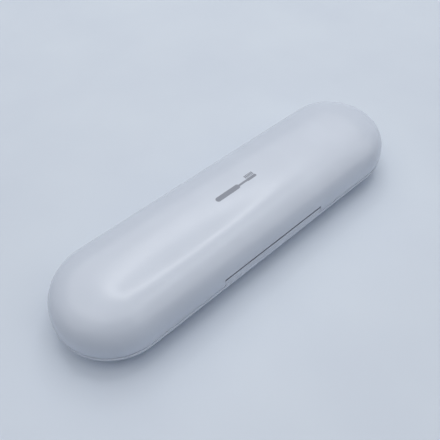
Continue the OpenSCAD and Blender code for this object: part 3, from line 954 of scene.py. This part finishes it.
def deck(name, face_z, deeper, radius, cut_half, cut_y, hollows, cups, magnets):
    """deeper is -1 where the moulding goes down from its face and 1 where it goes up."""
    outer = [deck_outline(radius, inset, cut_half, cut_y) for inset, depth in rim]
    levels = [face_z + deeper * depth for inset, depth in rim]
    face_lines = [outer[0]]
    back_lines = [outer[-1]]
    walls = []

    def add_wall(section, half, centre, steps):
        at_level = [(r, face_z + deeper * depth) for r, depth in section]
        walls.append(carried("wall", at_level, half, grey_abs, centre, *steps))

    for centre, half, size, lip in hollows:
        axis_depth = deeper * (centre[2] - face_z)
        inner = with_lip(hollow_section(size, axis_depth, 0), lip)
        behind = hollow_section(size + liner_wall, axis_depth, deck_thickness)
        for section, lines in ((inner, face_lines), (behind, back_lines)):
            lines.append(capsule_outline(half, section[0][0], centre, *LONG_STEPS))
            add_wall(section, half, centre[:2], LONG_STEPS)
    for box in cups:
        centre = middle(box)[:2]
        face_lines.append(capsule_outline(0, cup_section[0][0], centre, *CUP_STEPS))
        back_lines.append(capsule_outline(0, cup_section[-1][0], centre, *CUP_STEPS))
        add_wall(cup_section, 0, centre, CUP_STEPS)
    for box in magnets:
        centre = middle(box)[:2]
        depths = sorted(deeper * (corner.z - face_z) for corner in box)
        back_lines.append(capsule_outline(0, magnet_ring, centre, *MAGNET_STEPS))
        add_wall(pocket_section(*depths), 0, centre, MAGNET_STEPS)

    cells = bmesh.new()
    fill_face(cells, face_lines, levels[0])
    fill_face(cells, back_lines, levels[-1])
    bridge(cells, [add_loop(cells, outline, z)[0] for outline, z in zip(outer, levels)])
    for part in walls:
        cells.from_mesh(part.data)
        bpy.data.objects.remove(part)
    bmesh.ops.remove_doubles(cells, verts=cells.verts, dist=2 * WELD)
    piece = from_cells(name, cells, grey_abs)
    print(name, "open edges:", point_outwards(piece.data))
    return weigh_normals(piece)


# %% [markdown]
# ### Place the hollows
#
# The handle's axis is read from its pads and the heads' axis from their clips, since the pads
# and clips hug them. The tray's deck ends just below the seam and the liner's just above it.

# %% Make tray and liner
pad_low, pad_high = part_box("handle_pad_right")
clip_low, clip_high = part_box("head_clip_right")
tray_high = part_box("base_tray")[1]
handle_radius = 14.25 * MM
pad_outer = handle_radius + 1.1 * MM
trough_radius = handle_radius + 0.75 * MM
trough_half = 96 * MM
trough_lip = 0.8 * MM
well_radius = 8.6 * MM
well_half = 39 * MM
well_lip = 0.6 * MM
well_x = 45 * MM
handle_y = (pad_low.y + pad_high.y) / 2
handle_z = pad_low.z + pad_outer
head_y = (clip_low.y + clip_high.y) / 2
head_z = clip_low.z + well_radius
hollow_list = [((0, handle_y, handle_z), trough_half - trough_radius, trough_radius, trough_lip)]
for x in (-well_x, well_x):
    hollow_list.append(((x, head_y, head_z), well_half - well_radius, well_radius, well_lip))
base_magnet_boxes = solids_of("base_magnets")
lid_magnet_boxes = solids_of("lid_magnets")

# The bite for the hinge stays this far behind its plates
tray_room = 0.2 * MM
liner_room = 0.4 * MM

tray = deck("tray_moulding", base_seam, -1, tray_high.y, eye_inner + gap, leaf_high.y + tray_room,
            hollow_list, tray_screw_boxes, base_magnet_boxes)
liner = deck("liner_moulding", lid_seam, 1, tray_high.y, bracket_high.x + 2 * gap,
             bracket_high.y + liner_room, hollow_list, liner_screw_boxes, lid_magnet_boxes)
hand_over(tray, "base", "base_tray")
hand_over(liner, "lid", "lid_liner")
print("handle axis y %.1f z %.1f mm, head axis y %.1f z %.1f mm"
      % (handle_y / MM, handle_z / MM, head_y / MM, head_z / MM))

# %% [markdown]
# ## Pads round the handle
#
# Four soft pads hold the handle, two under it and two over it. Each is a band of rubber that
# follows the trough, with six ribs across it that give way a little and keep the handle from
# rattling. The band is built in rings round the handle's axis. The ribs repeat, so a tree
# makes one as an arc with a round profile and sets it out along a line. The arc thins out at its
# ends, so that each rib runs out softly.

# %% The rib tree
def rib_tree():
    tree, given = new_tree("ribs_across_pad", [
        ("Ribs", "NodeSocketInt"), ("Spacing", "NodeSocketFloat"), ("Arc radius", "NodeSocketFloat"),
        ("Middle angle", "NodeSocketFloat"), ("Half angle", "NodeSocketFloat"),
        ("Rib radius", "NodeSocketFloat"), ("Material", "NodeSocketMaterial")])

    # One rib is an arc with a round profile, thinned out over the last 6% at each end
    start = add_node(tree, MATH, MINUS, in_0=given["Middle angle"], in_1=given["Half angle"])
    sweep = add_node(tree, MATH, TIMES, in_0=given["Half angle"], in_1=2.0)
    bow = add_node(tree, "GeometryNodeCurveArc", Resolution=40, Radius=given["Arc radius"],
                   Start_Angle=start, Sweep_Angle=sweep)
    share = add_node(tree, "GeometryNodeSplineParameter").outputs["Factor"]
    rest = add_node(tree, MATH, MINUS, in_0=1.0, in_1=share)
    to_end = add_node(tree, MATH, {"operation": "MINIMUM"}, in_0=share, in_1=rest)
    taper = add_node(tree, "ShaderNodeMapRange", Value=to_end, From_Max=0.06, To_Min=0.05)
    rounded = add_node(tree, MATH, {"operation": "POWER"}, in_0=taper, in_1=0.5)
    thinned = add_node(tree, "GeometryNodeSetCurveRadius", Curve=bow, Radius=rounded)
    profile = add_node(tree, "GeometryNodeCurvePrimitiveCircle", Resolution=10, Radius=given["Rib radius"])
    rib = add_node(tree, "GeometryNodeCurveToMesh", Curve=thinned, Profile_Curve=profile, Fill_Caps=True)
    upright = add_node(tree, "GeometryNodeTransform", Geometry=rib,
                       Rotation=(math.pi / 2, 0, math.pi / 2))

    # The ribs stand on the points of a line that is as long on both sides of the middle
    gaps = add_node(tree, MATH, MINUS, in_0=given["Ribs"], in_1=1.0)
    span = add_node(tree, MATH, TIMES, in_0=gaps, in_1=given["Spacing"])
    first_x = add_node(tree, MATH, TIMES, in_0=span, in_1=-0.5)
    first = add_node(tree, "ShaderNodeCombineXYZ", X=first_x)
    step = add_node(tree, "ShaderNodeCombineXYZ", X=given["Spacing"])
    line = add_node(tree, "GeometryNodeMeshLine", Count=given["Ribs"], Start_Location=first, Offset=step)
    placed = add_node(tree, "GeometryNodeInstanceOnPoints", Points=line, Instance=upright)
    whole = add_node(tree, "GeometryNodeRealizeInstances", Geometry=placed)
    smooth = add_node(tree, "GeometryNodeSetShadeSmooth", Geometry=whole)
    coloured = add_node(tree, "GeometryNodeSetMaterial", Geometry=smooth, Material=given["Material"])
    both = add_node(tree, "GeometryNodeJoinGeometry", Geometry=given["Geometry"])
    tree.links.new(coloured.outputs[0], both.inputs[0])
    add_node(tree, "NodeGroupOutput", Geometry=both)
    return tree


ribs = rib_tree()
print("rib tree:", len(ribs.nodes), "nodes")


# %% Make the pads
rib_count = 6
rib_spacing = 2.5 * MM
rib_radius = 0.45 * MM
rib_room = 0.1 * MM
rib_margin = math.radians(6)


def pad_band(name, inner, outer, half_length, drop, up, steps=32):
    """Part of a ring round the X axis; both ends are cut level at the drop from the axis."""
    corners = [(-half_length, inner), (half_length, inner), (half_length, outer), (-half_length, outer)]
    cells = bmesh.new()
    rings = []
    for i in range(steps + 1):
        ring = []
        for x, r in corners:
            angle = math.acos(drop / r) * (2 * i / steps - 1)
            ring.append(cells.verts.new((x, r * math.sin(angle), up * r * math.cos(angle))))
        rings.append(ring)
    cells.faces.new(rings[0])
    cells.faces.new(rings[-1])
    bridge(cells, rings)
    piece = from_cells(name, cells, elastomer)
    soften(piece, 0.25 * MM, segments=3)
    return weigh_normals(piece)


def handle_pad(node, body, up):
    low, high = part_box(node)
    drop = abs((high.z if up < 0 else low.z) - handle_z)
    inner = handle_radius + rib_room + rib_radius
    piece = pad_band(node + "_ribbed", inner, pad_outer, (high.x - low.x) / 2, drop, up)
    run_tree(piece, ribs, {
        "Ribs": rib_count, "Spacing": rib_spacing, "Rib radius": rib_radius, "Arc radius": inner,
        "Middle angle": up * math.pi / 2, "Half angle": math.acos(drop / inner) - rib_margin,
        "Material": elastomer})
    piece.data.transform(Matrix.Translation(((low.x + high.x) / 2, handle_y, handle_z)))
    hand_over(piece, body, node)


for kind, body, up in (("handle_pad_", "base", -1), ("lid_pad_", "lid", 1)):
    for side in ("left", "right"):
        handle_pad(kind + side, body, up)

# %% [markdown]
# ## Clips for the brush heads
#
# A clip is a thick rubber disc that stands in a well. Its mouth is a little narrower than the
# neck of a brush head, so the neck snaps in and stays. It is one outline, the disc with the mouth
# cut out, given its thickness along X. All its edges get a generous radius, as moulded rubber has.

# %% Make the clips
neck_radius = 3.5 * MM
clip_upper = well_radius - 0.3 * MM
clip_top = clip_high.z - head_z
clip_step = lid_seam - 0.6 * MM - head_z


def rise(height, radius):
    """Degrees at which a circle is this far above its centre."""
    return math.degrees(math.asin(height / radius))


def head_clip(node):
    low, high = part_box(node)
    centre = (head_y, head_z)
    top = rise(clip_top, clip_upper)
    step = rise(clip_step, clip_upper)
    foot = rise(clip_step, well_radius)
    mouth = rise(clip_top, neck_radius)
    outline = (arc(centre, neck_radius, 180 - mouth, 360 + mouth, 28)
               + arc(centre, clip_upper, top, step, 5)
               + arc(centre, well_radius, foot, -180 - foot, 40)
               + arc(centre, clip_upper, -180 - step, -180 - top, 5))
    piece = prism(node + "_soft", outline, "X", low.x, high.x, elastomer)
    soften(piece, 0.4 * MM, angle=60, segments=3)
    hand_over(weigh_normals(piece), "base", node)


for side in ("left", "right"):
    head_clip("head_clip_" + side)

# %% [markdown]
# ## Hinge
#
# The leaf is one moulding with the same section over its whole length: a plate that is screwed
# into the base, a shelf behind the rim, and a wall that fills the notch. The wall's outer face is
# flat and flush with the shells, and its top is round and is the hinge barrel. Where the two meet,
# a groove is left under the lid's edge. Little light gets into it, and its faces are painted a
# darker grey as painted shade, and so it is the thin dark line above the hinge, the only line on
# that side of the case. The leaf is drawn as one outline and pushed along X, and then bored for
# the pin. A bracket on the lid is an eye with a web, joined to a screwed plate.

# %% Bores of the hinge
hinge_edge = 0.15 * MM
screw_hole = 1 * MM
tight_fit = 0.01 * MM
running_fit = 0.05 * MM
leaf_screw_boxes = solids_of("leaf_screws")
bracket_screw_boxes = solids_of("bracket_screws")


def rod(axis, centre, radius, start, stop, steps=32):
    """A round tool along an axis; its centre is given as the two other coordinates."""
    outline = arc(centre, radius, 0, 360 - 360 / steps, steps - 1)
    return prism("rod", outline, axis, start, stop, hinge_nylon)


def bored(piece, start, stop, fit, face, screw_boxes):
    """Bore a moulding for the pin along X and for its screws along Y, then soften its edges."""
    holes = [rod("X", (axis_y, axis_z), pin_radius + fit, start, stop)]
    for box in screw_boxes:
        spot = middle(box)
        holes.append(rod("Y", (spot.x, spot.z), screw_hole, face - plate, face + 2 * plate))
    combine(piece, holes, "DIFFERENCE")
    soften(piece, hinge_edge, angle=60)
    return piece


# %% Make the leaf
riser = barrel_face + 2.4 * MM
groove_lip = axis_z + 0.6 * MM
groove_floor = axis_z - 0.1 * MM
groove_back = barrel_face + 0.75 * MM


def in_groove(point):
    return barrel_face + 5 * hair < point.y < groove_back + 2 * hair and point.z > groove_floor - 5 * hair


def hinge_leaf():
    outline = [(shelf_edge, parting - shelf), (leaf_face, parting - shelf), (leaf_face, leaf_low.z),
               (leaf_high.y, leaf_low.z), (leaf_high.y, parting), (riser, parting)]
    corner = len(outline) - 1
    outline += arc((axis_y, axis_z), barrel_radius, -angle_at(riser - axis_y, barrel_radius),
                   angle_at(groove_back - axis_y, barrel_radius), 40)
    lip = len(outline) + 1
    outline += [(groove_back, groove_floor), (barrel_face, groove_lip), (barrel_face, base_seam),
                (shelf_edge, base_seam)]
    outline = round_corner(outline, lip + 1, 0.3 * MM, 3)
    outline = round_corner(outline, lip, 0.12 * MM, 4)
    outline = round_corner(outline, corner, 0.6 * MM, 4)
    piece = prism("leaf_moulding", outline, "X", -barrel_half, barrel_half, hinge_nylon)
    bored(piece, -half_run, half_run, tight_fit, leaf_face, leaf_screw_boxes)
    # The groove's faces take the darker grey, painted shade for the dark line under the lid's edge
    piece.data.materials.append(groove_shade_nylon)
    for polygon in piece.data.polygons:
        polygon.material_index = int(in_groove(polygon.center))
    return weigh_normals(piece)


hand_over(hinge_leaf(), "base", "hinge_leaf")


# %% Make the brackets
def hinge_bracket(name, side):
    piece = eye_shape(name, side, 0, 24, hinge_nylon)
    combine(piece, [plate_block(side, bracket_face, bracket_high.y, hinge_nylon)], "UNION")
    own_screws = [box for box in bracket_screw_boxes if middle(box).x * side > 0]
    start, stop = plate_ends(side)
    bored(piece, start - plate, stop + plate, running_fit, bracket_face, own_screws)
    return weigh_normals(piece)


hand_over(hinge_bracket("bracket_left_moulding", -1), "lid", "hinge_bracket_left")
hand_over(hinge_bracket("bracket_right_moulding", 1), "lid", "hinge_bracket_right")

# %% [markdown]
# ## Pin, screws and magnets
#
# These are turned parts. The pin is ground round with a small chamfer at each end. A screw has a
# domed head with a cross recess, and a thread that shows as rings. One screw of each length is
# made, and a tree sets it out on points, each turned about its own axis by a random angle, because
# no two screws stop at the same angle. The seed is fixed, so the angles are the same in each run.
# A thread could be wound as a helix, but at this size rings look the same and have fewer faces.

# %% The pin
def chamfered_rod(name, radius, length, chamfer, material, steps):
    """A turned rod along Z, with its middle at the origin and a chamfer at each end."""
    half = length / 2
    section = [(0, -half), (radius - chamfer, -half), (radius, chamfer - half)]
    section += [(r, -z) for r, z in section[::-1]]
    return turned(name, section, material, steps)


pin = chamfered_rod("hinge_pin_ground", pin_radius, 2 * pin_high.x, 0.15 * MM, ground_steel, steps=20)
pin.data.transform(Matrix.Translation((0, axis_y, axis_z)) @ Matrix.Rotation(math.pi / 2, 4, "Y"))
hand_over(weigh_normals(pin), "base", "hinge_pin")


# %% The tree that sets parts out
def setting_tree():
    tree, given = new_tree("set_out_turned_parts", [
        ("Part", "NodeSocketObject"), ("Axis", "NodeSocketVector"), ("Seed", "NodeSocketInt"),
        ("Material", "NodeSocketMaterial")])
    part = add_node(tree, "GeometryNodeObjectInfo", Object=given["Part"])
    angle = add_node(tree, "FunctionNodeRandomValue", {"data_type": "FLOAT"}, in_3=2 * math.pi,
                     Seed=given["Seed"])
    turn = add_node(tree, "FunctionNodeAxisAngleToRotation", Axis=given["Axis"], Angle=angle.outputs[1])
    placed = add_node(tree, "GeometryNodeInstanceOnPoints", Points=given["Geometry"],
                      Instance=part.outputs["Geometry"], Rotation=turn)
    whole = add_node(tree, "GeometryNodeRealizeInstances", Geometry=placed)
    coloured = add_node(tree, "GeometryNodeSetMaterial", Geometry=whole, Material=given["Material"])
    add_node(tree, "NodeGroupOutput", Geometry=coloured)
    return tree


set_out_tree = setting_tree()


def set_out(name, part, spots, axis, seed, material):
    mesh = bpy.data.meshes.new(name)
    mesh.from_pydata([tuple(spot) for spot in spots], [], [])
    piece = run_tree(new_piece(name, mesh), set_out_tree, {
        "Part": part, "Axis": axis, "Seed": seed, "Material": material})
    bpy.data.objects.remove(part)
    return piece


print("setting tree:", len(set_out_tree.nodes), "nodes")

# %% One screw
HEAD_HEIGHT = 0.9 * MM
PITCH = 0.6 * MM
SHANK = 0.9 * MM
ROOT = 0.74 * SHANK
# The dome of the head, in shares of its radius and its height
DOME = [(0, 1), (0.45, 0.97), (0.78, 0.82), (0.95, 0.55), (1, 0.3), (1, 0)]


def screw(head_radius, length, turn):
    """Head above z = 0, thread below, then turned from +Z to where it points."""
    section = [(head_radius * across, HEAD_HEIGHT * up) for across, up in DOME] + [(SHANK * 0.8, 0)]
    for i in range(int((length - 2 * PITCH) / PITCH)):
        crest = -PITCH * (i + 0.8)
        section += [(ROOT, crest + PITCH * 0.3), (SHANK, crest), (ROOT, crest - PITCH * 0.3)]
    section += [(SHANK * 0.5, PITCH - length), (0, -length)]
    piece = turned("screw", section, zinc, steps=16)
    arm = head_radius * 0.6
    half_slot = head_radius / 7
    cross = [block((-x, -y, HEAD_HEIGHT * 0.4), (x, y, 2 * HEAD_HEIGHT), zinc)
             for x, y in ((arm, half_slot), (half_slot, arm))]
    combine(piece, cross, "DIFFERENCE")
    weigh_normals(piece)
    piece.data.transform(turn)
    return piece


# %% Set out the screws
def seats(boxes, axis, heads_up):
    """Where the underside of each head lies, on the solid's own axis."""
    spots = []
    for low, high in boxes:
        spot = middle((low, high))
        spot[axis] = high[axis] - HEAD_HEIGHT if heads_up else low[axis] + HEAD_HEIGHT
        spots.append(spot)
    return spots


upright = Matrix.Identity(4)
upside_down = Matrix.Rotation(math.pi, 4, "X")
facing_front = Matrix.Rotation(-math.pi / 2, 4, "X")
screw_sets = [
    ("tray_screws", "base", tray_screw_boxes, 2, True, 1.7, 4.8, upright, (0, 0, 1)),
    ("liner_screws", "lid", liner_screw_boxes, 2, False, 1.7, 4.8, upside_down, (0, 0, 1)),
    ("leaf_screws", "base", leaf_screw_boxes, 1, True, 1.4, 3.4, facing_front, (0, 1, 0)),
    ("bracket_screws", "lid", bracket_screw_boxes, 1, True, 1.4, 3.4, facing_front, (0, 1, 0))]
for seed, (node, body, boxes, axis, heads_up, radius, length, turn, way) in enumerate(screw_sets):
    one = screw(radius * MM, length * MM, turn)
    piece = set_out(node + "_turned", one, seats(boxes, axis, heads_up), way, seed, zinc)
    hand_over(piece, body, node)

# %% Set out the magnets
magnet_seed = 7
for node, body, boxes in (("base_magnets", "base", base_magnet_boxes),
                          ("lid_magnets", "lid", lid_magnet_boxes)):
    low, high = boxes[0]
    one = chamfered_rod("magnet", (high.x - low.x) / 2, high.z - low.z, 0.2 * MM, nickel, steps=32)
    weigh_normals(one)
    piece = set_out(node + "_plated", one, [middle(box) for box in boxes], (0, 0, 1), magnet_seed, nickel)
    hand_over(piece, body, node)

# %% [markdown]
# ## The printed sign
#
# A small sign is printed in the middle of the lid. Here it is a plain picture of a toothbrush,
# which says what the case is for. It could be painted on by the lid's material, but it is built
# from round-ended bars, each a thin prism, so the print has real edges and stays sharp in a close
# view. The lid's skin was drawn 0.02 mm low, and the ink stands that much above it. The neck lies
# 0.01 mm lower than the bars it runs into, so no two faces share a plane.

# %% Make the sign
ink_root = 0.1 * MM
neck_drop = 0.01 * MM


def bar(x_start, x_stop, y_low, y_high, steps=8):
    """Outline of a round-ended bar, lying or standing."""
    radius = min(x_stop - x_start, y_high - y_low) / 2
    if x_stop - x_start > y_high - y_low:
        y = (y_low + y_high) / 2
        return (arc((x_stop - radius, y), radius, -90, 90, steps)
                + arc((x_start + radius, y), radius, 90, 270, steps))
    x = (x_start + x_stop) / 2
    return (arc((x, y_high - radius), radius, 0, 180, steps)
            + arc((x, y_low + radius), radius, 180, 360, steps))


def printed_sign():
    """The bars are given in millimetres from the middle of the lid."""
    handle = bar(-15.5, 2.5, -1.9, 1.5)
    neck = bar(1, 11, -0.9, 0.5)
    head = bar(8.2, 15.8, -1.3, 0.7)
    tufts = [bar(8.9 + 1.1 * i, 9.7 + 1.1 * i, 1.0, 3.5, steps=4) for i in range(6)]
    strokes = [(handle, crown), (neck, crown - neck_drop), (head, crown)]
    strokes += [(tuft, crown) for tuft in tufts]
    cells = bmesh.new()
    for outline, top in strokes:
        in_metres = [(x * MM, y * MM) for x, y in outline]
        stroke = prism("stroke", in_metres, "Z", crown - ink_root, top, ink)
        cells.from_mesh(stroke.data)
        bpy.data.objects.remove(stroke)
    mesh = bpy.data.meshes.new("printed_sign")
    cells.to_mesh(mesh)
    cells.free()
    mesh.materials.append(ink)
    return new_piece("printed_sign", mesh)


sign = printed_sign()
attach(sign, "lid")
print("sign faces:", len(sign.data.polygons))

# %% [markdown]
# ## Floor
#
# The case stands on a plain pale table, slightly blue. The sheet is large, so that a low camera
# sees no edge. A faint cloudiness breaks its colour, because no real table is one even tone.

# %% Make the floor
def table_top():
    material, tree, place = new_material("pale_laminate")
    clouds = add_node(tree, "ShaderNodeTexNoise", Vector=place, Scale=per_mm(90), Detail=3.0)
    tone = add_node(tree, "ShaderNodeValToRGB", stops=[(0.35, "#D0D9E6"), (0.65, "#D4DDE9")], Fac=clouds)
    shader = add_node(tree, "ShaderNodeBsdfPrincipled", Base_Color=tone, Roughness=0.6)
    add_node(tree, "ShaderNodeOutputMaterial", Surface=shader)
    return material


half_floor = 3.0
floor_cells = bmesh.new()
floor_cells.faces.new([floor_cells.verts.new((x * half_floor, y * half_floor, 0))
                       for x, y in ((-1, -1), (1, -1), (1, 1), (-1, 1))])
floor = from_cells("table", floor_cells, table_top())
print("floor:", floor.name, 2 * half_floor, "m wide")

# %% [markdown]
# ## Light
#
# The photograph was taken under broad soft light from above: the shadow is close, and there is a
# little more light from the left and from the near right. Three sun lamps with a wide angle give
# that. They work like soft boxes that are very far away, so the whole table is lit evenly and no
# view sees it fade. On the left half of the lid the photograph shows a faint bright loop, the
# reflection of a ring lamp. Here a ring of small area lamps makes it. The world adds a weak fill,
# and shows itself as a pale backdrop to the camera and in reflections.

# %% Lamps
def new_lamp(name, kind, place, towards):
    """A lamp shines along its own -Z axis, away from the direction it is turned to."""
    data = bpy.data.lights.new(name, kind)
    lamp = bpy.data.objects.new(name, data)
    bpy.context.collection.objects.link(lamp)
    lamp.location = place
    lamp.rotation_mode = "QUATERNION"
    lamp.rotation_quaternion = Vector(towards).to_track_quat("Z", "Y")
    return data


def soft_sun(name, towards, strength, spread):
    sun = new_lamp(name, "SUN", (0, 0, 1), towards)
    sun.energy = strength
    sun.angle = math.radians(spread)


def ring_lamp(centre, radius, power, count=24, width=0.05):
    for i in range(count):
        angle = 2 * math.pi * i / count
        place = (centre[0] + radius * math.cos(angle), centre[1] + radius * math.sin(angle), centre[2])
        part = new_lamp("ring", "AREA", place, (0, 0, 1))
        part.size = width
        part.energy = power / count


soft_sun("overhead", (0.1, 0.25, 1), strength=1.52, spread=86)
soft_sun("left", (-0.9, 0.2, 0.8), strength=0.35, spread=60)
soft_sun("near right", (0.6, -0.8, 0.8), strength=0.6, spread=60)
ring_lamp((0.33, 0.33, 1.0), radius=0.3, power=2.4)

# %% World
world = bpy.data.worlds.new("room")
bpy.context.scene.world = world
world.use_nodes = True
room = world.node_tree
room.nodes.clear()
path = add_node(room, "ShaderNodeLightPath")
seen = path.outputs["Is Camera Ray"]
for ray in ("Is Glossy Ray", "Is Transmission Ray"):
    seen = add_node(room, MATH, {"operation": "MAXIMUM"}, in_0=seen, in_1=path.outputs[ray])
fill = add_node(room, "ShaderNodeBackground", Color=linear("#F4F6FA"), Strength=0.03)
backdrop = add_node(room, "ShaderNodeBackground", Color=linear("#D6DFEB"), Strength=0.87)
both = add_node(room, "ShaderNodeMixShader", in_0=seen, in_1=fill, in_2=backdrop)
add_node(room, "ShaderNodeOutputWorld", Surface=both)
bpy.context.scene.view_settings.view_transform = "Standard"
print("view transform:", bpy.context.scene.view_settings.view_transform)
